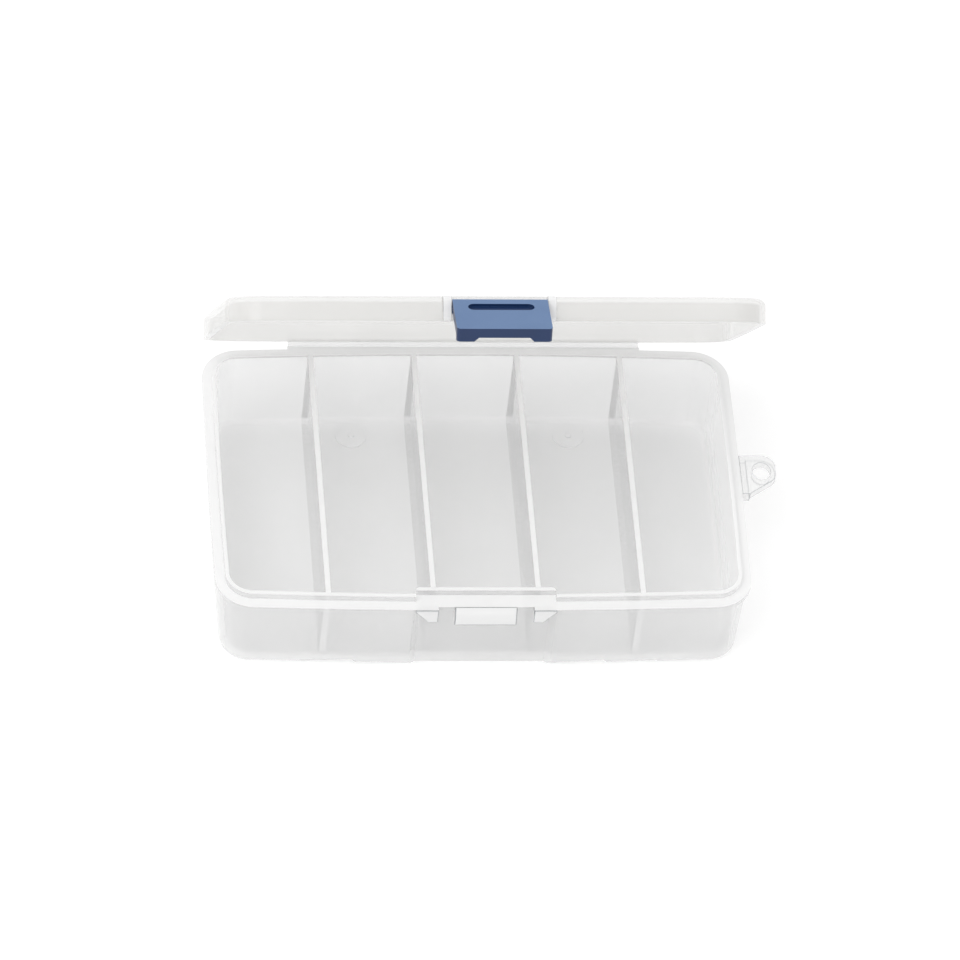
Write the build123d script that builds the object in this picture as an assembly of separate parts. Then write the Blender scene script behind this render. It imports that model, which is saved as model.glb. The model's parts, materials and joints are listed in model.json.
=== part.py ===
from build123d import *
import os
from math import atan2, degrees

os.makedirs("parts", exist_ok=True)

# Driving dimensions in millimetres. X runs along the hinge, -Y is the front, Z is up from the table.
CASE_WIDTH = 135.0
CASE_DEPTH = 88.5
SEAT_HEIGHT = 23.8
LIP_RISE = 1.7
LID_HEIGHT = 6.3
CORNER_RADIUS = 9.5
LONG_BOW = 1.45
SHORT_BOW = 0.4
LID_OPEN_ANGLE = 51.0
LATCH_SWING_ANGLE = 56.5

# Tray walls: how far each face lies inside the rim's outer edge.
RIM_THICKNESS = 1.3
WALL_TOP_INSET = 0.9
WALL_BOTTOM_INSET = 2.1
SIDE_LIP_INSET = 2.4
LONG_LIP_INSET = 2.8
SIDE_INNER_INSET = 3.3
LONG_INNER_INSET = 3.9
INNER_DRAFT = 0.5
FLOOR_THICKNESS = 1.5
FLOOR_FILLET = 1.5
FOOT_RADIUS = 2.3

# Dividers.
COMPARTMENTS = 5
DIVIDER_PITCH = 26.3
DIVIDER_TOP = 1.3
DIVIDER_FOOT = 1.7

# Front recess with its two cheeks and the catch.
RECESS_HALF_WIDTH = 16.3
RECESS_DEPTH = 1.75
RECESS_BEVEL = 1.75
PILASTER_HALF_WIDTH = 17.6
PILASTER_DEPTH = 2.3
PILASTER_RADIUS = 1.2
CHEEK_INNER = 12.0
CHEEK_DROP = 4.2
CHEEK_PROUD = 0.3
CHEEK_BEVEL_X = 3.2
CHEEK_BEVEL_Z = 3.6
RIM_SETBACK = 1.1
CATCH_HALF_WIDTH = 7.75
CATCH_NOSE_PROUD = 0.25
CATCH_RAMP_DROP = 2.7
CATCH_DROP = 5.3

# Gate marks of the moulding.
GATE_X = 27.9
GATE_Y = 34.0
GATE_RADIUS = 4.0
GATE_STEP = 0.3
GATE_NUB_RADIUS = 0.8

# Strap eyelet on the right end of the rim.
EYELET_Y = 2.4
EYELET_REACH = 5.4
EYELET_HOLE_X = 4.7
EYELET_HOLE_Y = 5.7
EYELET_BAND = 1.25
EYELET_REAR = 5.2
EYELET_FRONT = 7.6
EYELET_ROOT = 1.9
EYELET_LAP = 1.0
EYELET_THICKNESS = 2.0
EYELET_ROOT_THICKNESS = 2.8

# Lid.
SEAT_GAP = 0.1
LID_WALL = 1.5
LID_PLATE = 1.3
LID_EDGE_RADIUS = 1.8
LID_INNER_RADIUS = 0.8
BEAD_HALF_LENGTH = 50.0
BEAD_PROUD = 0.35
BEAD_RISE = 0.8
BEAD_HEIGHT = 0.7

# Fold-over hinge strip.
HINGE_HALF_LENGTH = 45.0
HINGE_BAR_PROUD = 0.3
HINGE_BAR_HEIGHT = 1.6
HINGE_BAR_BEVEL = 0.5
HINGE_AXIS_OFFSET = 1.3
HINGE_ANCHOR = 0.65
FILM_THICKNESS = 0.35

# Latch, its lugs and its pivot.
LATCH_HALF_WIDTH = 11.8
LATCH_LENGTH = 15.0
LATCH_PLATE = 1.2
LATCH_NOSE_GAP = 0.3
LATCH_END_DEPTH = 3.65
LATCH_END_WALL = 1.4
LATCH_SIDE_WALL = 1.1
LATCH_SIDE_DEPTH = 1.35
LATCH_NOTCH_HALF = 6.3
LATCH_NOTCH_DEPTH = 1.1
LATCH_CORNER = 1.0
SLOT_HALF_LENGTH = 8.2
SLOT_HEIGHT = 3.0
SLOT_FROM_TOP = 2.7
SLOT_DEPTH = 0.8
HOOK_HALF_WIDTH = 7.4
HOOK_DEPTH = 1.1
HOOK_HEIGHT = 1.5
HOOK_GAP = 0.15
LUG_INNER = 12.0
LUG_OUTER = 14.0
LUG_PROUD = 0.3
LUG_RADIUS = 1.2
LID_RECESS_DEPTH = 2.2
LID_RECESS_WALL = 1.3
PIVOT_INSET = 0.7
PIVOT_DROP = 3.2
BARREL_RADIUS = 1.3
LATCH_TOP_RISE = 0.98
LATCH_TOP_BACK = 0.85
LATCH_TOP_BEVEL = 0.5
PIN_RADIUS = 0.9
PIN_CLEARANCE = 0.05
PIN_END_GAP = 0.1

# Values worked out from the driving dimensions.
HALF_WIDTH = CASE_WIDTH / 2
FRONT = -CASE_DEPTH / 2
REAR = CASE_DEPTH / 2
LIP_TOP = SEAT_HEIGHT + LIP_RISE
RIM_UNDERSIDE = SEAT_HEIGHT - RIM_THICKNESS
LID_BOTTOM = SEAT_HEIGHT + SEAT_GAP
LID_TOP = SEAT_HEIGHT + LID_HEIGHT
HINGE_Y = REAR + HINGE_BAR_PROUD + HINGE_AXIS_OFFSET
HINGE_Z = SEAT_HEIGHT
RECESS_TOP_Y = FRONT + WALL_TOP_INSET + RECESS_DEPTH
RECESS_FOOT_Y = FRONT + WALL_BOTTOM_INSET + RECESS_DEPTH
CHEEK_OUTER = PILASTER_HALF_WIDTH
CHEEK_FRONT = FRONT - CHEEK_PROUD
CATCH_FRONT = FRONT - CATCH_NOSE_PROUD
CATCH_FOOT = SEAT_HEIGHT - CATCH_DROP
LID_RECESS_Y = FRONT + LID_RECESS_DEPTH
PIVOT_Y = FRONT + PIVOT_INSET
PIVOT_Z = LID_TOP - PIVOT_DROP
PLATE_BACK = CATCH_FRONT - LATCH_NOSE_GAP
PLATE_FRONT = PLATE_BACK - LATCH_PLATE
LATCH_TOP = PIVOT_Z + LATCH_TOP_RISE
LATCH_FOOT = LATCH_TOP - LATCH_LENGTH
LUG_HOLE_RADIUS = PIN_RADIUS + PIN_CLEARANCE

# How far the cutting bodies reach past what they cut.
OVERCUT = 6.0
CUT_MARGIN = 1.0


def outline(side_inset, long_inset, height):
    """Rounded case outline with gently bowed sides, set in from the rim's outer edge."""
    half_x = HALF_WIDTH - side_inset
    half_y = REAR - long_inset
    corner_x = half_x - SHORT_BOW
    corner_y = half_y - LONG_BOW
    radius = CORNER_RADIUS - (side_inset + long_inset) / 2
    edges = [
        ThreePointArc((-corner_x, -corner_y), (0, -half_y), (corner_x, -corner_y)),
        ThreePointArc((corner_x, -corner_y), (half_x, 0), (corner_x, corner_y)),
        ThreePointArc((corner_x, corner_y), (0, half_y), (-corner_x, corner_y)),
        ThreePointArc((-corner_x, corner_y), (-half_x, 0), (-corner_x, -corner_y)),
    ]
    face = make_face(edges)
    face = fillet(face.vertices(), radius)
    return Pos(0, 0, height) * face


def slab(side_inset, long_inset, bottom, top):
    """Straight-sided block of the case outline."""
    return extrude(outline(side_inset, long_inset, bottom), top - bottom)


def leaning_slab(side_inset, long_inset, bottom, top, lean):
    """Block of the case outline whose walls lean outward by that much over its height."""
    taper = -degrees(atan2(lean, top - bottom))
    return extrude(outline(side_inset, long_inset, bottom), top - bottom, taper=taper)


def block(x_range, y_range, z_range):
    """Plain box between two limits on each axis."""
    limits = (x_range, y_range, z_range)
    size = [high - low for low, high in limits]
    centre = [(high + low) / 2 for low, high in limits]
    return Pos(*centre) * Box(*size)


def profile_bar(points, x_range):
    """Bar along X whose section is drawn in the YZ plane."""
    face = make_face(Polyline([(x_range[0], y, z) for y, z in points], close=True))
    return extrude(face, x_range[1] - x_range[0], dir=(1, 0, 0))


def bottom_edges(solid):
    """Edges that lie on the solid's lowest level."""
    return solid.edges().group_by(Axis.Z)[0]


def top_edges(solid):
    """Edges that lie on the solid's highest level."""
    return solid.edges().group_by(Axis.Z)[-1]


def pilaster():
    """Block that sets the front wall and lip back behind the catch."""
    inner = FRONT + LONG_INNER_INSET + PILASTER_DEPTH
    body = block((-PILASTER_HALF_WIDTH, PILASTER_HALF_WIDTH), (FRONT, inner), (0, LIP_TOP + OVERCUT))
    rear_uprights = body.edges().filter_by(Axis.Z).group_by(Axis.Y)[-1]
    return fillet(rear_uprights, PILASTER_RADIUS)


def cavity():
    """Room inside the tray, with drafted walls and a rounded foot."""
    side_foot = SIDE_INNER_INSET + INNER_DRAFT
    long_foot = LONG_INNER_INSET + INNER_DRAFT
    room = leaning_slab(side_foot, long_foot, FLOOR_THICKNESS, LIP_TOP, INNER_DRAFT)
    room = fillet(bottom_edges(room), FLOOR_FILLET)
    return room - pilaster()


def recess_cutter():
    """Shallow bay in the front wall, with bevelled ends and the wall's own slope."""
    sections = []
    for height, back in ((-CUT_MARGIN, RECESS_FOOT_Y), (RIM_UNDERSIDE, RECESS_TOP_Y)):
        wide = RECESS_HALF_WIDTH + RECESS_BEVEL
        points = [
            (-wide, FRONT - OVERCUT),
            (-wide, back - RECESS_DEPTH),
            (-RECESS_HALF_WIDTH, back),
            (RECESS_HALF_WIDTH, back),
            (wide, back - RECESS_DEPTH),
            (wide, FRONT - OVERCUT),
        ]
        sections.append(Pos(0, 0, height) * make_face(Polyline(points, close=True)))
    return loft(sections, ruled=True)


def gate_marks():
    """Places of the two round moulding marks on the floor."""
    return [(-GATE_X, GATE_Y), (GATE_X, GATE_Y)]


def disc(centre, radius, bottom, top):
    """Upright round disc."""
    return Pos(centre[0], centre[1], (bottom + top) / 2) * Cylinder(radius, top - bottom)


def tray():
    """Tray moulding: floor, walls, rim, lip, front bay, hinge bar and gate marks."""
    wall_lean = WALL_BOTTOM_INSET - WALL_TOP_INSET
    body = leaning_slab(WALL_BOTTOM_INSET, WALL_BOTTOM_INSET, 0, RIM_UNDERSIDE, wall_lean)
    body = fillet(bottom_edges(body), FOOT_RADIUS)
    body -= recess_cutter()
    rim = slab(0, 0, RIM_UNDERSIDE, SEAT_HEIGHT)
    rim -= block((-CHEEK_INNER, CHEEK_INNER), (FRONT - OVERCUT, FRONT + RIM_SETBACK), (0, LIP_TOP))
    lip = slab(SIDE_LIP_INSET, LONG_LIP_INSET, SEAT_HEIGHT, LIP_TOP)
    lip_setback = FRONT + LONG_LIP_INSET + PILASTER_DEPTH
    lip -= block((-PILASTER_HALF_WIDTH, PILASTER_HALF_WIDTH), (FRONT, lip_setback), (SEAT_HEIGHT, LIP_TOP))
    hinge_bar = profile_bar(
        [
            (REAR - LONG_LIP_INSET, RIM_UNDERSIDE),
            (REAR - LONG_LIP_INSET, SEAT_HEIGHT),
            (REAR + HINGE_BAR_PROUD, SEAT_HEIGHT),
            (REAR + HINGE_BAR_PROUD, SEAT_HEIGHT - HINGE_BAR_HEIGHT),
            (REAR - HINGE_BAR_BEVEL, SEAT_HEIGHT - HINGE_BAR_HEIGHT),
        ],
        (-HINGE_HALF_LENGTH, HINGE_HALF_LENGTH),
    )
    shell = body + rim + lip + hinge_bar - cavity()
    for centre in gate_marks():
        shell -= disc(centre, GATE_RADIUS, -CUT_MARGIN, GATE_STEP)
        shell += disc(centre, GATE_RADIUS, FLOOR_THICKNESS, FLOOR_THICKNESS + GATE_STEP)
        shell += disc(centre, GATE_NUB_RADIUS, FLOOR_THICKNESS, FLOOR_THICKNESS + 2 * GATE_STEP)
    return shell


def divider(index, room):
    """One moulded-in divider, thicker at its foot, filling the room from front to rear."""
    centre = (index - (COMPARTMENTS - 2) / 2) * DIVIDER_PITCH
    points = [
        (centre - DIVIDER_FOOT / 2, 0, 0),
        (centre - DIVIDER_TOP / 2, 0, LIP_TOP),
        (centre + DIVIDER_TOP / 2, 0, LIP_TOP),
        (centre + DIVIDER_FOOT / 2, 0, 0),
    ]
    face = make_face(Polyline(points, close=True))
    return extrude(face, CASE_DEPTH / 2, dir=(0, 1, 0), both=True) & room


def cheek(side, shell):
    """Guard beside the catch, bevelled on its outer lower corner."""
    near, far = side * CHEEK_INNER, side * CHEEK_OUTER
    points = [
        (near, FRONT, SEAT_HEIGHT),
        (near, FRONT, SEAT_HEIGHT - CHEEK_DROP),
        (far - side * CHEEK_BEVEL_X, FRONT, SEAT_HEIGHT - CHEEK_DROP),
        (far, FRONT, SEAT_HEIGHT - CHEEK_DROP + CHEEK_BEVEL_Z),
        (far, FRONT, SEAT_HEIGHT),
    ]
    face = Pos(0, -CHEEK_PROUD, 0) * make_face(Polyline(points, close=True))
    body = extrude(face, RECESS_FOOT_Y - CHEEK_FRONT, dir=(0, 1, 0))
    return (body - shell).solids().sort_by(Axis.Y)[0]


def catch(shell):
    """Catch that the latch hooks under: a ramp, a short upright nose and a flat underside."""
    points = [
        (FRONT + RIM_SETBACK, SEAT_HEIGHT),
        (CATCH_FRONT, SEAT_HEIGHT - CATCH_RAMP_DROP),
        (CATCH_FRONT, CATCH_FOOT),
        (RECESS_FOOT_Y, CATCH_FOOT),
        (RECESS_FOOT_Y, SEAT_HEIGHT),
    ]
    body = profile_bar(points, (-CATCH_HALF_WIDTH, CATCH_HALF_WIDTH))
    return (body - shell).solids().sort_by(Axis.Y)[0]


def eyelet():
    """Strap eyelet: a flat ring with an oval hole, on a thicker root against the rim."""
    hole_x = HALF_WIDTH + EYELET_REACH
    ring_x = EYELET_HOLE_X / 2 + EYELET_BAND
    rear_centre = EYELET_Y + EYELET_REAR - ring_x
    front_centre = EYELET_Y - EYELET_BAND / 2
    root_x = HALF_WIDTH - EYELET_LAP
    rear_corner = (root_x, EYELET_Y + EYELET_REAR)
    front_corner = (root_x, EYELET_Y - EYELET_FRONT)
    ring = make_hull(
        [
            *(Pos(hole_x, rear_centre) * Circle(ring_x)).edges(),
            *(Pos(hole_x, front_centre) * Circle(ring_x)).edges(),
            Line(rear_corner, front_corner),
            Line(front_corner, (HALF_WIDTH + EYELET_ROOT, EYELET_Y - EYELET_FRONT)),
        ]
    )
    plate = extrude(Pos(0, 0, SEAT_HEIGHT - EYELET_THICKNESS) * ring, EYELET_THICKNESS)
    hole = Pos(hole_x, EYELET_Y, 0) * Ellipse(EYELET_HOLE_X / 2, EYELET_HOLE_Y / 2)
    plate -= extrude(hole, CASE_DEPTH)
    root = block(
        (root_x, HALF_WIDTH + EYELET_ROOT),
        (EYELET_Y - EYELET_FRONT, EYELET_Y + EYELET_REAR),
        (SEAT_HEIGHT - EYELET_ROOT_THICKNESS, SEAT_HEIGHT),
    )
    return plate + root


def lid_outer():
    """Outside of the lid in its closed place, rounded along its top edge."""
    body = slab(0, 0, LID_BOTTOM, LID_TOP)
    return fillet(top_edges(body), LID_EDGE_RADIUS)


def lug(side):
    """Lug on the lid's front edge with the hole for one end of the latch's pin."""
    x_range = sorted((side * LUG_INNER, side * LUG_OUTER))
    body = block(x_range, (FRONT - LUG_PROUD, LID_RECESS_Y + LID_RECESS_WALL), (LID_BOTTOM, LID_TOP))
    front_edges = body.edges().filter_by(Axis.X).group_by(Axis.Y)[0]
    body = fillet(front_edges, LUG_RADIUS)
    hole = Pos((x_range[0] + x_range[1]) / 2, PIVOT_Y, PIVOT_Z) * Rot(0, 90, 0)
    return body - hole * Cylinder(LUG_HOLE_RADIUS, 2 * LUG_OUTER)


def lid():
    """Lid moulding in its closed place: plate, skirt, latch bay, bead and hinge bar."""
    hollow = slab(LID_WALL, LID_WALL, LID_BOTTOM, LID_TOP - LID_PLATE)
    hollow = fillet(top_edges(hollow), LID_INNER_RADIUS)
    bay_back = LID_RECESS_Y + LID_RECESS_WALL
    bay_wall = block((-LUG_OUTER, LUG_OUTER), (LID_RECESS_Y, bay_back), (LID_BOTTOM, LID_TOP - LID_PLATE / 2))
    bead_y = FRONT + LID_WALL
    bead = block(
        (-BEAD_HALF_LENGTH, BEAD_HALF_LENGTH),
        (bead_y - LID_WALL / 2, bead_y + BEAD_PROUD + LONG_BOW),
        (LID_BOTTOM + BEAD_RISE, LID_BOTTOM + BEAD_RISE + BEAD_HEIGHT),
    )
    bead &= slab(LID_WALL / 2, LID_WALL / 2, LID_BOTTOM, LID_TOP)
    bead -= slab(LID_WALL + BEAD_PROUD, LID_WALL + BEAD_PROUD, LID_BOTTOM, LID_TOP)
    hinge_bar = profile_bar(
        [
            (REAR - LID_WALL / 2, LID_BOTTOM),
            (REAR + HINGE_BAR_PROUD, LID_BOTTOM),
            (REAR + HINGE_BAR_PROUD, LID_BOTTOM + HINGE_BAR_HEIGHT),
            (REAR - HINGE_BAR_BEVEL, LID_BOTTOM + HINGE_BAR_HEIGHT + HINGE_BAR_BEVEL),
            (REAR - LID_WALL / 2 - LONG_BOW, LID_BOTTOM + HINGE_BAR_HEIGHT + HINGE_BAR_BEVEL),
            (REAR - LID_WALL / 2 - LONG_BOW, LID_BOTTOM),
        ],
        (-HINGE_HALF_LENGTH, HINGE_HALF_LENGTH),
    )
    shell = lid_outer() - hollow + bead + hinge_bar
    cut_top = LID_TOP + CUT_MARGIN
    shell -= block((-LUG_OUTER, LUG_OUTER), (FRONT - OVERCUT, LID_RECESS_Y), (0, cut_top))
    shell += bay_wall
    lug_room = block((-LUG_OUTER, -LUG_INNER), (FRONT - OVERCUT, bay_back), (0, cut_top))
    return shell - lug_room - mirror(lug_room, Plane.YZ)


def hinge_film(neighbours):
    """Thin folding strip between the two hinge bars, as it stands with the lid open."""
    anchor = HINGE_AXIS_OFFSET
    start = Vector(0, HINGE_Y - anchor, HINGE_Z - HINGE_ANCHOR)
    closed_end = Vector(0, HINGE_Y - anchor, HINGE_Z + HINGE_ANCHOR)
    turn = Pos(0, HINGE_Y, HINGE_Z) * Rot(-LID_OPEN_ANGLE, 0, 0) * Pos(0, -HINGE_Y, -HINGE_Z)
    end = (turn * Vertex(*closed_end)).center()
    along = (end - start).normalized()
    across = Vector(0, -along.Z, along.Y) * (FILM_THICKNESS / 2)
    face = make_face(Polyline([start - across, end - across, end + across, start + across], close=True))
    face = Pos(-HINGE_HALF_LENGTH, 0, 0) * face
    film = extrude(face, 2 * HINGE_HALF_LENGTH, dir=(1, 0, 0))
    for neighbour in neighbours:
        film -= neighbour
    return film


def latch():
    """Latch in its closed place: face plate, end wall, side walls, groove, hook, barrel and pins."""
    half = LATCH_HALF_WIDTH
    barrel = Pos(0, PIVOT_Y, PIVOT_Z) * Rot(0, 90, 0) * Cylinder(BARREL_RADIUS, 2 * half)
    pins = Pos(0, PIVOT_Y, PIVOT_Z) * Rot(0, 90, 0) * Cylinder(PIN_RADIUS, 2 * (LUG_OUTER - PIN_END_GAP))
    web_foot = PIVOT_Z - 2 * BARREL_RADIUS
    web = profile_bar(
        [
            (PIVOT_Y - LATCH_TOP_BACK, LATCH_TOP),
            (PLATE_FRONT + LATCH_TOP_BEVEL, LATCH_TOP),
            (PLATE_FRONT, LATCH_TOP - LATCH_TOP_BEVEL),
            (PLATE_FRONT, web_foot),
            (PLATE_BACK, web_foot),
            (PIVOT_Y, PIVOT_Z - BARREL_RADIUS),
            (PIVOT_Y, PIVOT_Z),
        ],
        (-half, half),
    )
    plate = block((-half, half), (PLATE_FRONT, PLATE_BACK), (LATCH_FOOT, PIVOT_Z))
    end_back = PLATE_FRONT + LATCH_END_DEPTH
    end_wall = block((-half, half), (PLATE_FRONT, end_back), (LATCH_FOOT, LATCH_FOOT + LATCH_END_WALL))
    body = plate + end_wall
    body = fillet(body.edges().filter_by(Axis.Y).group_by(Axis.Z)[0], LATCH_CORNER)
    notch_mouth = LATCH_NOTCH_HALF + LATCH_NOTCH_DEPTH + CUT_MARGIN
    notch = make_face(
        Polyline(
            [
                (-notch_mouth, end_back + CUT_MARGIN),
                (-LATCH_NOTCH_HALF, end_back - LATCH_NOTCH_DEPTH),
                (LATCH_NOTCH_HALF, end_back - LATCH_NOTCH_DEPTH),
                (notch_mouth, end_back + CUT_MARGIN),
            ],
            close=True,
        )
    )
    body -= extrude(Pos(0, 0, LATCH_FOOT - CUT_MARGIN) * notch, LATCH_END_WALL + 2 * CUT_MARGIN)
    wall = block(
        (half - LATCH_SIDE_WALL, half),
        (PLATE_BACK, PLATE_BACK + LATCH_SIDE_DEPTH),
        (LATCH_FOOT + LATCH_END_WALL, web_foot),
    )
    hook_top = CATCH_FOOT - HOOK_GAP
    hook = profile_bar(
        [
            (PLATE_BACK, hook_top),
            (PLATE_BACK + HOOK_DEPTH, hook_top),
            (PLATE_BACK + HOOK_DEPTH, hook_top - HOOK_HEIGHT / 2),
            (PLATE_BACK, hook_top - HOOK_HEIGHT),
        ],
        (-HOOK_HALF_WIDTH, HOOK_HALF_WIDTH),
    )
    slot_face = SlotOverall(2 * SLOT_HALF_LENGTH, SLOT_HEIGHT)
    slot_z = LATCH_TOP - SLOT_FROM_TOP - SLOT_HEIGHT / 2
    slot_place = Pos(0, PLATE_FRONT - CUT_MARGIN, slot_z) * Rot(-90, 0, 0)
    slot = extrude(slot_place * slot_face, SLOT_DEPTH + CUT_MARGIN)
    return body + wall + mirror(wall, Plane.YZ) + hook + web + barrel + pins - slot


def open_lid(shape):
    """Turn a piece of the lid from its closed place to the pose that is modelled."""
    return Pos(0, HINGE_Y, HINGE_Z) * Rot(-LID_OPEN_ANGLE, 0, 0) * Pos(0, -HINGE_Y, -HINGE_Z) * shape


def swing_latch(shape):
    """Turn the latch up and out about its pin, before the lid is opened."""
    return Pos(0, PIVOT_Y, PIVOT_Z) * Rot(-LATCH_SWING_ANGLE, 0, 0) * Pos(0, -PIVOT_Y, -PIVOT_Z) * shape


room = cavity()
tray_shell = tray()
open_lid_shell = open_lid(lid())
nodes = {
    "tray": tray_shell,
    "catch": catch(tray_shell),
    "catch_cheek_left": cheek(-1, tray_shell),
    "catch_cheek_right": cheek(1, tray_shell),
    "strap_eyelet": eyelet() - tray_shell,
    "hinge_film": hinge_film([tray_shell, open_lid_shell]),
    "lid": open_lid_shell,
    "latch_lug_left": open_lid(lug(-1)),
    "latch_lug_right": open_lid(lug(1)),
    "latch": open_lid(swing_latch(latch())),
}
for index in range(COMPARTMENTS - 1):
    nodes[f"divider_{index + 1}"] = divider(index, room)

for name, shape in nodes.items():
    export_step(shape, f"parts/{name}.step")
    box = shape.bounding_box()
    print(name, "volume %.1f mm3" % shape.volume, "z %.2f to %.2f" % (box.min.Z, box.max.Z))

pin = open_lid(Pos(0, PIVOT_Y, PIVOT_Z) * Vertex(0, 0, 0)).center()
print("hinge axis y %.3f z %.3f" % (HINGE_Y, HINGE_Z))
print("latch axis y %.4f z %.4f" % (pin.Y, pin.Z))
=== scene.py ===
# %% [markdown]
# # A clear lure box, dressed for its portrait
# The part is a pocket box moulded in clear, slightly milky polypropylene, with a blue latch.
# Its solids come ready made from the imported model. This lesson gives them the surfaces, the
# folding strip and the light that turn exact solids into moulded plastic.

# %% Load the fixed frame
import json
from math import cos, radians, sin

import bmesh
import bpy
from mathutils import Matrix, Vector

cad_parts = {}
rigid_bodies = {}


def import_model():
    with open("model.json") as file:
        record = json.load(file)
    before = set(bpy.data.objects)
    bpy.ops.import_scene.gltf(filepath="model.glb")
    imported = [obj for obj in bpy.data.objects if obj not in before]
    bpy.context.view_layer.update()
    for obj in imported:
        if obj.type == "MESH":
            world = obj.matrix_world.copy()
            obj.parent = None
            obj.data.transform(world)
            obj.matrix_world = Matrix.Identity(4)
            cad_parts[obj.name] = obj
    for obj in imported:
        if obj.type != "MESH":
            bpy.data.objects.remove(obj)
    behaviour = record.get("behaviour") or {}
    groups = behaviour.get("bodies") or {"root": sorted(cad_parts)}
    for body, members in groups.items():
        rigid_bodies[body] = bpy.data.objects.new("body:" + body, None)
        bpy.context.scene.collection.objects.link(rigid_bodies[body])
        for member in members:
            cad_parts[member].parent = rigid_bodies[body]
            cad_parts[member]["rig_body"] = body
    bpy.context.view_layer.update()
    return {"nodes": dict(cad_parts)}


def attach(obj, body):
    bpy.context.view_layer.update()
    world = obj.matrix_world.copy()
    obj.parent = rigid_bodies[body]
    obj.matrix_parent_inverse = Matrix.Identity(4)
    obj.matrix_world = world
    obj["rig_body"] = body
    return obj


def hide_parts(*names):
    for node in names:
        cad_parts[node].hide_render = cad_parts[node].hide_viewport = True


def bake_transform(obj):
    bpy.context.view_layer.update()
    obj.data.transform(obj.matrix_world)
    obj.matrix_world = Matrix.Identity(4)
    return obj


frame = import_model()
MM = 0.001

# %% [markdown]
# Colours are written as the hex values that a paint chart uses. Blender's sockets want linear
# light, so one function converts them. A second small function adds a node, sets it and links
# it, which keeps each material readable as a short list.

# %% Colour and node helpers
SRGB_KNEE = 0.04045


def linear(hex_colour):
    """Linear RGBA of an sRGB hex colour."""
    channels = [int(hex_colour[i:i + 2], 16) / 255 for i in (1, 3, 5)]
    light = [c / 12.92 if c <= SRGB_KNEE else ((c + 0.055) / 1.055) ** 2.4 for c in channels]
    return (*light, 1.0)


def add(tree, kind, settings=None, **sockets):
    """Add a node. A socket given another node's output is linked, and any other value is set.

    A socket is named with _ for each space, or is i and its number where names repeat.
    """
    made = tree.nodes.new(kind)
    for name, value in (settings or {}).items():
        setattr(made, name, value)
    for name, value in sockets.items():
        number = name[1:]
        socket = made.inputs[int(number) if number.isdigit() else name.replace("_", " ")]
        if isinstance(value, bpy.types.NodeSocket):
            tree.links.new(value, socket)
        else:
            socket.default_value = value
    return made


def new_material(name):
    """Empty node material with its output node."""
    material = bpy.data.materials.new(name)
    material.use_nodes = True
    material.node_tree.nodes.clear()
    return material, add(material.node_tree, "ShaderNodeOutputMaterial")


print("mid grey in linear light", [round(c, 3) for c in linear("#808080")[:3]])

# %% [markdown]
# Clarified polypropylene is not glass. It lets most light through, but the tiny crystals in it
# scatter a share, so thin walls look a soft grey and thick edges look white. The mould was
# polished, yet the melt left faint waves a few millimetres long, and handling leaves hairlines.
# Drawn with refraction, the case comes out as dark as smoked glass, because light is lost at
# each of the many thin walls. So each skin of a wall is a pale plastic that covers part of what is
# behind it, which is how haze works. The waves and hairlines are bump, and the clouding changes
# the tint, the cover and the roughness over about a centimetre. The whole case is one plastic.
# Its five finishes are matched to the tones the box shows: the dividers hide little, and a rim,
# seen through its whole depth, is whiter and hides more. The lid has a greyer tint and more
# cover, which is painted shade for the light it loses. The grey finish is painted shade on small
# radii, which bend light away and look like fine grey lines.

# %% Clear moulded polypropylene
PLASTIC_IOR = 1.49
FLOW_WAVE = 6.0 * MM
FLOW_WAVE_DEPTH = 0.25 * MM
FLOW_WAVE_STRENGTH = 0.10
HAIRLINE = 0.5 * MM
HAIRLINE_DEPTH = 0.03 * MM
HAIRLINE_STRENGTH = 0.06
HAIRLINE_STRETCH = (1.0, 0.08, 0.3)
CLOUD_SIZE = 11.0 * MM
CLOUD_COVER = (0.93, 1.07)
CLOUD_ROUGHNESS = (0.75, 1.35)
WALL_COVER = 0.30
LID_COVER = 0.34
DIVIDER_COVER = 0.18
EDGE_COVER = 0.88
RADIUS_COVER = 0.85


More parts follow.
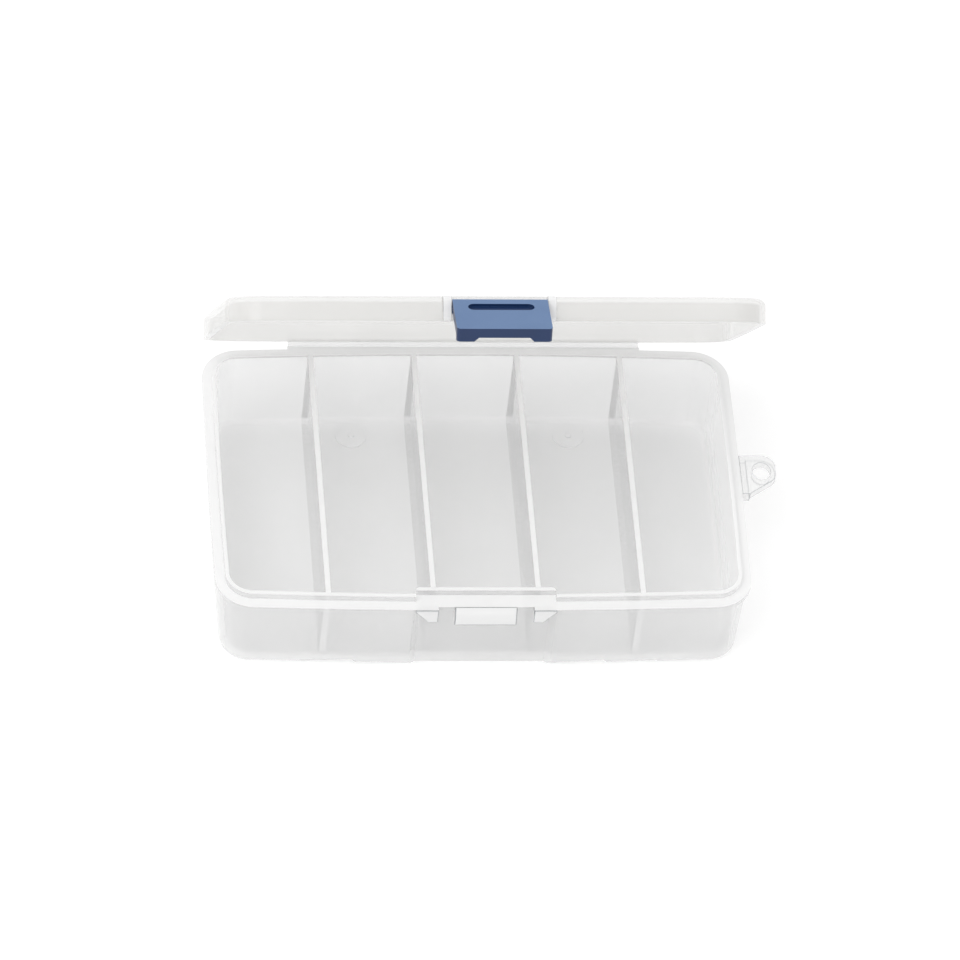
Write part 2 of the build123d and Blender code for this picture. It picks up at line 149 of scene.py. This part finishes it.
def clear_polypropylene(name, light_hex, shade_hex, cover, roughness):
    """Injection moulded clear polypropylene, with flow waves, clouding and hairlines."""
    material, output = new_material(name)
    tree = material.node_tree
    place = add(tree, "ShaderNodeTexCoord").outputs["Object"]
    cloud = add(tree, "ShaderNodeTexNoise", Vector=place, Scale=1 / CLOUD_SIZE, Detail=3.0)
    tint = add(tree, "ShaderNodeMix", {"data_type": "RGBA"}, i0=cloud.outputs["Fac"],
               i6=linear(light_hex), i7=linear(shade_hex))
    gloss = add(tree, "ShaderNodeMapRange", Value=cloud.outputs["Fac"],
                To_Min=roughness * CLOUD_ROUGHNESS[0], To_Max=roughness * CLOUD_ROUGHNESS[1])
    wave = add(tree, "ShaderNodeTexNoise", Vector=place, Scale=1 / FLOW_WAVE, Detail=1.0)
    stretched = add(tree, "ShaderNodeMapping", Vector=place, Scale=HAIRLINE_STRETCH)
    hair = add(tree, "ShaderNodeTexNoise", Vector=stretched.outputs["Vector"],
               Scale=1 / HAIRLINE, Detail=2.0)
    waves = add(tree, "ShaderNodeBump", Height=wave.outputs["Fac"], Strength=FLOW_WAVE_STRENGTH,
                Distance=FLOW_WAVE_DEPTH)
    lines = add(tree, "ShaderNodeBump", Height=hair.outputs["Fac"], Strength=HAIRLINE_STRENGTH,
                Distance=HAIRLINE_DEPTH, Normal=waves.outputs["Normal"])
    haze = add(tree, "ShaderNodeMapRange", Value=cloud.outputs["Fac"],
               To_Min=cover * CLOUD_COVER[0], To_Max=min(1.0, cover * CLOUD_COVER[1]))
    shader = add(tree, "ShaderNodeBsdfPrincipled", Base_Color=tint.outputs[2],
                 Roughness=gloss.outputs["Result"], Normal=lines.outputs["Normal"],
                 IOR=PLASTIC_IOR, Alpha=haze.outputs["Result"])
    tree.links.new(shader.outputs["BSDF"], output.inputs["Surface"])
    return material


clear_case = clear_polypropylene("clear_polypropylene_moulded", "#FFFFFF", "#F7F7F7",
                                 cover=WALL_COVER, roughness=0.16)
# The lid's greyer tint and extra cover are painted shade.
lid_case_painted_shade = clear_polypropylene("clear_polypropylene_lid_painted_shade", "#EAE9E6", "#DFDEDB",
                               cover=LID_COVER, roughness=0.16)
divider_case = clear_polypropylene("clear_polypropylene_divider", "#FFFFFF", "#FAFAFA",
                                   cover=DIVIDER_COVER, roughness=0.18)
white_edge = clear_polypropylene("clear_polypropylene_edge", "#FFFFFF", "#FAFAFA",
                                 cover=EDGE_COVER, roughness=0.22)
# The grey of the radius finish is painted shade.
radius_painted_shade = clear_polypropylene("clear_polypropylene_radius_painted_shade", "#A4A9AC", "#93989B",
                                  cover=RADIUS_COVER, roughness=0.20)
clear_finishes = (clear_case, lid_case_painted_shade, divider_case, white_edge, radius_painted_shade)
print("clear materials", [material.name for material in clear_finishes])

# %% [markdown]
# The latch is coloured through in the melt, a steel blue with a satin face. It is opaque at
# this thickness. Spark erosion of a mould leaves a fine grain, drawn here about a third of a
# millimetre coarse, which breaks the highlight into a soft sheen. The grip groove and the end
# look much deeper in colour than the face. That is shade, which the shallow groove of the solid
# doesn't give, so the same surface is also made in a deeper blue as painted shade.

# %% Blue moulded latch plastic
LATCH_GRAIN = 0.35 * MM
LATCH_GRAIN_DEPTH = 0.04 * MM
LATCH_GRAIN_STRENGTH = 0.18
LATCH_ROUGHNESS = (0.30, 0.46)


def satin_polypropylene(name, light_hex, deep_hex):
    """Opaque pigmented polypropylene with a spark-eroded grain."""
    material, output = new_material(name)
    tree = material.node_tree
    place = add(tree, "ShaderNodeTexCoord").outputs["Object"]
    swirl = add(tree, "ShaderNodeTexNoise", Vector=place, Scale=1 / CLOUD_SIZE, Detail=4.0,
                Distortion=0.6)
    tint = add(tree, "ShaderNodeMix", {"data_type": "RGBA"}, i0=swirl.outputs["Fac"],
               i6=linear(light_hex), i7=linear(deep_hex))
    grain = add(tree, "ShaderNodeTexNoise", Vector=place, Scale=1 / LATCH_GRAIN, Detail=2.0)
    gloss = add(tree, "ShaderNodeMapRange", Value=grain.outputs["Fac"],
                To_Min=LATCH_ROUGHNESS[0], To_Max=LATCH_ROUGHNESS[1])
    bump = add(tree, "ShaderNodeBump", Height=grain.outputs["Fac"],
               Strength=LATCH_GRAIN_STRENGTH, Distance=LATCH_GRAIN_DEPTH)
    shader = add(tree, "ShaderNodeBsdfPrincipled", Base_Color=tint.outputs[2],
                 Roughness=gloss.outputs["Result"], Normal=bump.outputs["Normal"],
                 IOR=PLASTIC_IOR)
    tree.links.new(shader.outputs["BSDF"], output.inputs["Surface"])
    return material


blue_latch = satin_polypropylene("blue_polypropylene_satin", "#6786B1", "#5574A1")
# The deeper blue is painted shade for the groove, the end and the back.
painted_shade_blue = satin_polypropylene("blue_polypropylene_painted_shade", "#14325F", "#102A52")
print("latch materials", blue_latch.name, painted_shade_blue.name)

# %% [markdown]
# No moulded edge is truly sharp: the cutter that made the mould left a radius of a tenth or two
# of a millimetre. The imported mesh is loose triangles, so each piece is a merged copy of its
# solid, with flat faces joined up again and a bevel on the edges that turn by more than thirty
# degrees. The faces along a rim get the white edge finish and the bevels the last one given.
# Normals weighted by area keep the big faces flat.
#
# The bevel may not overlap itself, so the shortest edges of a piece limit its width everywhere.
# Measured on the finished meshes, the catch and its cheeks get 0.15 to 0.2 mm and the eyelet
# 0.09 mm, but the lugs only 0.03 mm, the dividers and the latch 0.01 mm or less, and the tray
# and lid 0.001 mm. The radii asked for are in the next cells.

# %% Copy a solid and soften its edges
MERGE_DISTANCE = 0.002 * MM
FLAT_ANGLE = radians(0.02)
EDGE_ANGLE = radians(30)
FLAT_WEIGHT = 90
RIM_FACING = 0.95


def plain_mesh(obj):
    """The object's evaluated mesh, with its modifiers taken into it."""
    graph = bpy.context.evaluated_depsgraph_get()
    mesh = bpy.data.meshes.new_from_object(obj.evaluated_get(graph), depsgraph=graph)
    obj.modifiers.clear()
    obj.data = mesh
    return obj


def paint_rim(mesh, direction, reach):
    """Give the second material to faces that face one way within reach of the furthest one."""
    depth = [direction.dot(face.center) for face in mesh.polygons]
    for face, value in zip(mesh.polygons, depth):
        if face.normal.dot(direction) > RIM_FACING and value > max(depth) - reach:
            face.material_index = 1


def moulded_copy(node, name, edge_radius, materials, segments=2, rims=()):
    """Piece that stands for a node: its merged mesh, bevelled by up to edge_radius."""
    mesh = bpy.data.meshes.new(name)
    shape = bmesh.new()
    shape.from_mesh(frame["nodes"][node].data)
    bmesh.ops.remove_doubles(shape, verts=shape.verts, dist=MERGE_DISTANCE)
    bmesh.ops.dissolve_limit(shape, angle_limit=FLAT_ANGLE, verts=shape.verts, edges=shape.edges)
    open_edges = sum(not edge.is_manifold for edge in shape.edges)
    shape.to_mesh(mesh)
    shape.free()
    piece = bpy.data.objects.new(name, mesh)
    bpy.context.scene.collection.objects.link(piece)
    for material in materials:
        mesh.materials.append(material)
    for face in mesh.polygons:
        face.use_smooth = True
    for direction, reach in rims:
        paint_rim(mesh, direction, reach)
    bevel = piece.modifiers.new("edge radius", "BEVEL")
    bevel.width = edge_radius
    bevel.segments = segments
    bevel.limit_method = "ANGLE"
    bevel.angle_limit = EDGE_ANGLE
    bevel.material = len(materials) - 1
    shading = piece.modifiers.new("flat faces stay flat", "WEIGHTED_NORMAL")
    shading.weight = FLAT_WEIGHT
    plain_mesh(piece)
    body = frame["nodes"][node]["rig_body"]
    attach(piece, body)
    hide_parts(node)
    print(name, "on", body, "faces", len(piece.data.polygons), "open edges", open_edges)
    return piece


# %% [markdown]
# Every clear node has a radius to ask for, in millimetres. A rim is given by the way its faces
# look and how far down they count: the tray's seat and lip face up, the lid's rim faces down
# and out as it stands open, and a divider has its top and both ends.

# %% What each clear node looks like
CLEAR_EDGES = {
    "tray": 0.14,
    "divider_1": 0.22,
    "divider_2": 0.22,
    "divider_3": 0.22,
    "divider_4": 0.22,
    "catch": 0.20,
    "catch_cheek_left": 0.20,
    "catch_cheek_right": 0.20,
    "strap_eyelet": 0.30,
    "lid": 0.14,
    "latch_lug_left": 0.15,
    "latch_lug_right": 0.15,
}
LID_OPEN_ANGLE = radians(51.0)
UP = Vector((0, 0, 1))
REARWARD = Vector((0, 1, 0))
LID_RIM_OUT = Matrix.Rotation(-LID_OPEN_ANGLE, 3, "X") @ -UP
SEAT_AND_LIP_REACH = 2.0 * MM
LID_RIM_REACH = 1.0 * MM
DIVIDER_TOP_REACH = 0.5 * MM
DIVIDER_END_REACH = 1.5 * MM

DIVIDERS = [node for node in CLEAR_EDGES if node.startswith("divider")]
THICK_NODES = ("catch", "catch_cheek_left", "catch_cheek_right", "latch_lug_left",
               "latch_lug_right")
WALLS = {"lid": lid_case_painted_shade, **dict.fromkeys(DIVIDERS, divider_case),
         **dict.fromkeys(THICK_NODES, white_edge)}
DIVIDER_RIMS = [(UP, DIVIDER_TOP_REACH), (REARWARD, DIVIDER_END_REACH),
                (-REARWARD, DIVIDER_END_REACH)]
RIMS = {"tray": [(UP, SEAT_AND_LIP_REACH)], "lid": [(LID_RIM_OUT, LID_RIM_REACH)],
        **dict.fromkeys(DIVIDERS, DIVIDER_RIMS)}
print("dividers", len(DIVIDERS), "thick nodes", len(THICK_NODES))

# %% [markdown]
# With the tables in place, one loop makes the twelve clear pieces. The catch, its cheeks and the
# lugs are solid lumps, so their walls have the white finish of a rim.

# %% Clear pieces
# The lid's greyer version and the grey on the bevels are painted shade.
for node, radius in CLEAR_EDGES.items():
    moulded_copy(node, node + "_moulded", radius * MM,
                 (WALLS.get(node, clear_case), white_edge, radius_painted_shade),
                 rims=RIMS.get(node, ()))

# %% [markdown]
# The latch is its own small moulding and the only opaque one. Its outer face and edges have the
# paler blue, and the groove, the end and the back the deeper blue of painted shade. The face is
# found in the same way as a rim: it looks forward on the closed latch, and turns with it to the
# modelled pose.

# %% Latch
LATCH_SWING_ANGLE = radians(56.5)
LATCH_OUT = Matrix.Rotation(-LID_OPEN_ANGLE - LATCH_SWING_ANGLE, 3, "X") @ -REARWARD
LATCH_FACE_REACH = 0.3 * MM
LATCH_RADIUS = 0.22 * MM
moulded_copy("latch", "latch_moulded", LATCH_RADIUS, (painted_shade_blue, blue_latch),
             segments=3, rims=[(LATCH_OUT, LATCH_FACE_REACH)])

# %% [markdown]
# The folding strip is a film of the same plastic between two bars, thinned along its middle
# where it folds. Its section follows a rule, a bent line with a thickness that changes along it,
# so a Geometry Nodes tree draws it: a flat grid is laid on a curve from the tray's bar through
# the hinge axis to the lid's bar, and is then given its thickness. The tree's inputs are its
# real sizes, so each can be changed by name.

# %% Sizes and inputs of the folding strip
HINGE_AXIS = Vector((0, 45.85, 23.8)) * MM
TRAY_ANCHOR = Vector((0, 44.45, 23.15)) * MM
LID_ANCHOR = Vector((0, 45.537, 25.219)) * MM
STRIP_LENGTH = 89.6 * MM
STRIP_THICKNESS = 0.42 * MM
STRIP_FOLD_THICKNESS = 0.24 * MM
STRIP_COLUMNS = 46
STRIP_ROWS = 17
STRIP_CURVE_STEPS = 32

strip_tree = bpy.data.node_groups.new("folding strip", "GeometryNodeTree")
for label, kind, value in (
    ("Length", "NodeSocketFloat", STRIP_LENGTH),
    ("Thickness", "NodeSocketFloat", STRIP_THICKNESS),
    ("Fold Thickness", "NodeSocketFloat", STRIP_FOLD_THICKNESS),
    ("Start", "NodeSocketVector", TRAY_ANCHOR),
    ("Middle", "NodeSocketVector", 2 * HINGE_AXIS - (TRAY_ANCHOR + LID_ANCHOR) / 2),
    ("End", "NodeSocketVector", LID_ANCHOR),
    ("Material", "NodeSocketMaterial", clear_case),
):
    strip_tree.interface.new_socket(label, in_out="INPUT", socket_type=kind).default_value = value
strip_tree.interface.new_socket("Geometry", in_out="OUTPUT", socket_type="NodeSocketGeometry")
given = add(strip_tree, "NodeGroupInput").outputs
print("strip inputs", [socket.name for socket in given if socket.name])

# %% [markdown]
# The grid is one unit wide across the strip, from minus a half to a half. Half added to its Y is
# then the share of the way along the curve, and the size of Y is the distance from the fold,
# which sets the thickness. Both are read before the grid is moved, so the thickness is captured.

# %% Bent line and thickness
FOLD_EDGE = 0.05
FOLD_FADE = 0.3

grid = add(strip_tree, "GeometryNodeMeshGrid", Size_X=given["Length"], Size_Y=1.0,
           Vertices_X=STRIP_COLUMNS, Vertices_Y=STRIP_ROWS)
at = add(strip_tree, "ShaderNodeSeparateXYZ",
         Vector=add(strip_tree, "GeometryNodeInputPosition").outputs["Position"])
along = add(strip_tree, "ShaderNodeMath", {"operation": "ADD"}, i0=at.outputs["Y"], i1=0.5)
bend = add(strip_tree, "GeometryNodeCurveQuadraticBezier", Resolution=STRIP_CURVE_STEPS,
           Start=given["Start"], Middle=given["Middle"], End=given["End"])
sample = add(strip_tree, "GeometryNodeSampleCurve", {"mode": "FACTOR"},
             Curves=bend.outputs["Curve"], Factor=along.outputs["Value"])
across = add(strip_tree, "ShaderNodeVectorMath", {"operation": "CROSS_PRODUCT"},
             i0=(1.0, 0.0, 0.0), i1=sample.outputs["Tangent"])
from_fold = add(strip_tree, "ShaderNodeMath", {"operation": "ABSOLUTE"}, i0=at.outputs["Y"])
thick = add(strip_tree, "ShaderNodeMapRange", {"interpolation_type": "SMOOTHSTEP"},
            Value=from_fold.outputs["Value"], From_Min=FOLD_EDGE, From_Max=FOLD_FADE,
            To_Min=given["Fold Thickness"], To_Max=given["Thickness"])
keep = strip_tree.nodes.new("GeometryNodeCaptureAttribute")
keep.capture_items.new("FLOAT", "Kept Thickness")
strip_tree.links.new(grid.outputs["Mesh"], keep.inputs["Geometry"])
strip_tree.links.new(thick.outputs["Result"], keep.inputs["Kept Thickness"])
print("fold starts to fade at", FOLD_EDGE, "and ends at", FOLD_FADE, "of the width")

# %% [markdown]
# Each point moves to its place on the curve, half a thickness to the back. Extruding the skin by
# the whole thickness gives the front and the sides, and the flipped skin closes the back. Where
# the two meet, their doubles are merged.

# %% Solid strip
lowered = add(strip_tree, "ShaderNodeMath", {"operation": "MULTIPLY"},
              i0=thick.outputs["Result"], i1=-0.5)
to_back = add(strip_tree, "ShaderNodeVectorMath", {"operation": "SCALE"},
              i0=across.outputs["Vector"], Scale=lowered.outputs["Value"])
sideways = add(strip_tree, "ShaderNodeCombineXYZ", X=at.outputs["X"])
middle_line = add(strip_tree, "ShaderNodeVectorMath", {"operation": "ADD"},
                  i0=sample.outputs["Position"], i1=sideways.outputs["Vector"])
back = add(strip_tree, "ShaderNodeVectorMath", {"operation": "ADD"},
           i0=middle_line.outputs["Vector"], i1=to_back.outputs["Vector"])
skin = add(strip_tree, "GeometryNodeSetPosition", Geometry=keep.outputs["Geometry"],
           Position=back.outputs["Vector"])
front = add(strip_tree, "GeometryNodeExtrudeMesh", Mesh=skin.outputs["Geometry"],
            Offset_Scale=keep.outputs["Kept Thickness"], Individual=False)
rear = add(strip_tree, "GeometryNodeFlipFaces", Mesh=skin.outputs["Geometry"])
both = add(strip_tree, "GeometryNodeJoinGeometry", Geometry=front.outputs["Mesh"])
strip_tree.links.new(rear.outputs["Mesh"], both.inputs["Geometry"])
closed = add(strip_tree, "GeometryNodeMergeByDistance", Geometry=both.outputs["Geometry"],
             Distance=MERGE_DISTANCE)
real = add(strip_tree, "GeometryNodeRealizeInstances", Geometry=closed.outputs["Geometry"])
painted = add(strip_tree, "GeometryNodeSetMaterial", Geometry=real.outputs["Geometry"],
              Material=given["Material"])
add(strip_tree, "NodeGroupOutput", Geometry=painted.outputs["Geometry"])
print("strip tree nodes", len(strip_tree.nodes))

# %% [markdown]
# The tree runs once. Its result becomes a plain mesh.

# %% Folding strip
strip = bpy.data.objects.new("folding_strip", bpy.data.meshes.new("folding_strip"))
bpy.context.scene.collection.objects.link(strip)
strip_builder = strip.modifiers.new("folding strip", "NODES")
strip_builder.node_group = strip_tree
for item in strip_tree.interface.items_tree:
    if item.in_out == "INPUT":
        strip_builder[item.identifier] = item.default_value
plain_mesh(strip)
for face in strip.data.polygons:
    face.use_smooth = True
strip.data.set_sharp_from_angle(angle=EDGE_ANGLE)
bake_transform(strip)
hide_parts("hinge_film")
strip_height = [round(v / MM, 2) for v in (min(v.co.z for v in strip.data.vertices),
                                           max(v.co.z for v in strip.data.vertices))]
print("folding strip faces", len(strip.data.polygons), "height mm", strip_height)

# %% [markdown]
# A product shot on white needs a floor that reads as paper but still holds the box's shadow.
# The floor is a pale matt sheet, and its small glow is seen only by the camera and by rays that
# are reflected or pass through the plastic, so it puts no extra light on the object.

# %% Floor
FLOOR_HALF = 3.0
FLOOR_GAP = 0.02 * MM
FLOOR_GLOW = 0.24
PAPER_TOOTH = 2.0 * MM
PAPER_TOOTH_DEPTH = 0.05 * MM
PAPER_TOOTH_STRENGTH = 0.02


def seen_directly(tree):
    """One for rays from the camera, or that mirror or pass through a surface, and else zero."""
    path = add(tree, "ShaderNodeLightPath").outputs
    mirrored = add(tree, "ShaderNodeMath", {"operation": "MAXIMUM"},
                   i0=path["Is Camera Ray"], i1=path["Is Glossy Ray"])
    return add(tree, "ShaderNodeMath", {"operation": "MAXIMUM"},
               i0=mirrored.outputs["Value"], i1=path["Is Transmission Ray"]).outputs["Value"]


paper, paper_output = new_material("matt_white_paper")
paper_tree = paper.node_tree
paper_place = add(paper_tree, "ShaderNodeTexCoord").outputs["Object"]
paper_tooth = add(paper_tree, "ShaderNodeTexNoise", Vector=paper_place, Scale=1 / PAPER_TOOTH)
paper_bump = add(paper_tree, "ShaderNodeBump", Height=paper_tooth.outputs["Fac"],
                 Strength=PAPER_TOOTH_STRENGTH, Distance=PAPER_TOOTH_DEPTH)
paper_glow = add(paper_tree, "ShaderNodeMath", {"operation": "MULTIPLY"},
                 i0=seen_directly(paper_tree), i1=FLOOR_GLOW)
paper_shader = add(paper_tree, "ShaderNodeBsdfPrincipled", Base_Color=linear("#F2F2F2"),
                   Roughness=0.9, Normal=paper_bump.outputs["Normal"], Specular_IOR_Level=0.1,
                   Emission_Color=linear("#FFFFFF"), Emission_Strength=paper_glow.outputs["Value"])
paper_tree.links.new(paper_shader.outputs["BSDF"], paper_output.inputs["Surface"])

floor_mesh = bpy.data.meshes.new("studio_floor")
floor_mesh.from_pydata([(-FLOOR_HALF, -FLOOR_HALF, 0), (FLOOR_HALF, -FLOOR_HALF, 0),
                        (FLOOR_HALF, FLOOR_HALF, 0), (-FLOOR_HALF, FLOOR_HALF, 0)],
                       [], [(0, 1, 2, 3)])
floor_mesh.materials.append(paper)
floor = bpy.data.objects.new("studio_floor", floor_mesh)
floor.location.z = -FLOOR_GAP
bpy.context.scene.collection.objects.link(floor)
print("floor glow", FLOOR_GLOW)

# %% [markdown]
# The light is an even white sky with one large softbox above, in front and to the left. Together
# they come to about one, the level at which a colour renders as it is written. The sky is white
# to the camera and a little darker as a lamp, which leaves room for the softbox to model form.

# %% Sky and softbox
SKY_LIGHT = 0.78
SOFTBOX_POWER = 9.0
SOFTBOX_SIDE = 1.1
SOFTBOX_PLACE = Vector((-0.7, -0.6, 1.5))

world = bpy.data.worlds.new("white studio")
bpy.context.scene.world = world
world.use_nodes = True
world.node_tree.nodes.clear()
sky_strength = add(world.node_tree, "ShaderNodeMapRange", Value=seen_directly(world.node_tree),
                   To_Min=SKY_LIGHT, To_Max=1.0)
sky = add(world.node_tree, "ShaderNodeBackground", Color=linear("#FFFFFF"),
          Strength=sky_strength.outputs["Result"])
add(world.node_tree, "ShaderNodeOutputWorld", Surface=sky.outputs["Background"])

softbox_light = bpy.data.lights.new("softbox", "AREA")
softbox_light.shape = "SQUARE"
softbox_light.size = SOFTBOX_SIDE
softbox_light.energy = SOFTBOX_POWER
softbox = bpy.data.objects.new("softbox", softbox_light)
softbox.location = SOFTBOX_PLACE
softbox.rotation_euler = (-SOFTBOX_PLACE).to_track_quat("-Z", "Y").to_euler()
bpy.context.scene.collection.objects.link(softbox)
print("softbox watts", SOFTBOX_POWER)

# %% [markdown]
# The camera was worked out from the rim, lip, floor and latch lines of the photograph: a very
# long lens 2.6 metres away, 48 degrees up, about nine degrees to the left and rolled by nearly
# seven. Its axes are built from those angles, so nothing has to be aimed by eye.

# %% Camera
CAMERA_AZIMUTH = radians(-8.824)
CAMERA_ELEVATION = radians(48.0)
CAMERA_ROLL = radians(6.671)
CAMERA_DISTANCE = 2600 * MM
CAMERA_LENS = 385.95
SENSOR_WIDTH = 36.0
AIM_HEIGHT = 12.0 * MM
AIM_RIGHT = 2.170 * MM
AIM_UP = 7.259 * MM

forward = Vector((-sin(CAMERA_AZIMUTH) * cos(CAMERA_ELEVATION),
                  cos(CAMERA_AZIMUTH) * cos(CAMERA_ELEVATION), -sin(CAMERA_ELEVATION)))
level = forward.cross(Vector((0, 0, 1))).normalized()
upright = level.cross(forward)
right = cos(CAMERA_ROLL) * level + sin(CAMERA_ROLL) * upright
up = cos(CAMERA_ROLL) * upright - sin(CAMERA_ROLL) * level
lens = bpy.data.cameras.new("camera")
lens.lens = CAMERA_LENS
lens.sensor_width = SENSOR_WIDTH
camera = bpy.data.objects.new("camera", lens)
axes = Matrix((right, up, -forward)).transposed().to_4x4()
aim = Vector((0, 0, AIM_HEIGHT)) + AIM_RIGHT * right + AIM_UP * up
camera.matrix_world = Matrix.Translation(aim - CAMERA_DISTANCE * forward) @ axes
bpy.context.scene.collection.objects.link(camera)
bpy.context.scene.camera = camera
bpy.context.scene.view_settings.view_transform = "Standard"
print("camera at", [round(c, 3) for c in camera.location])
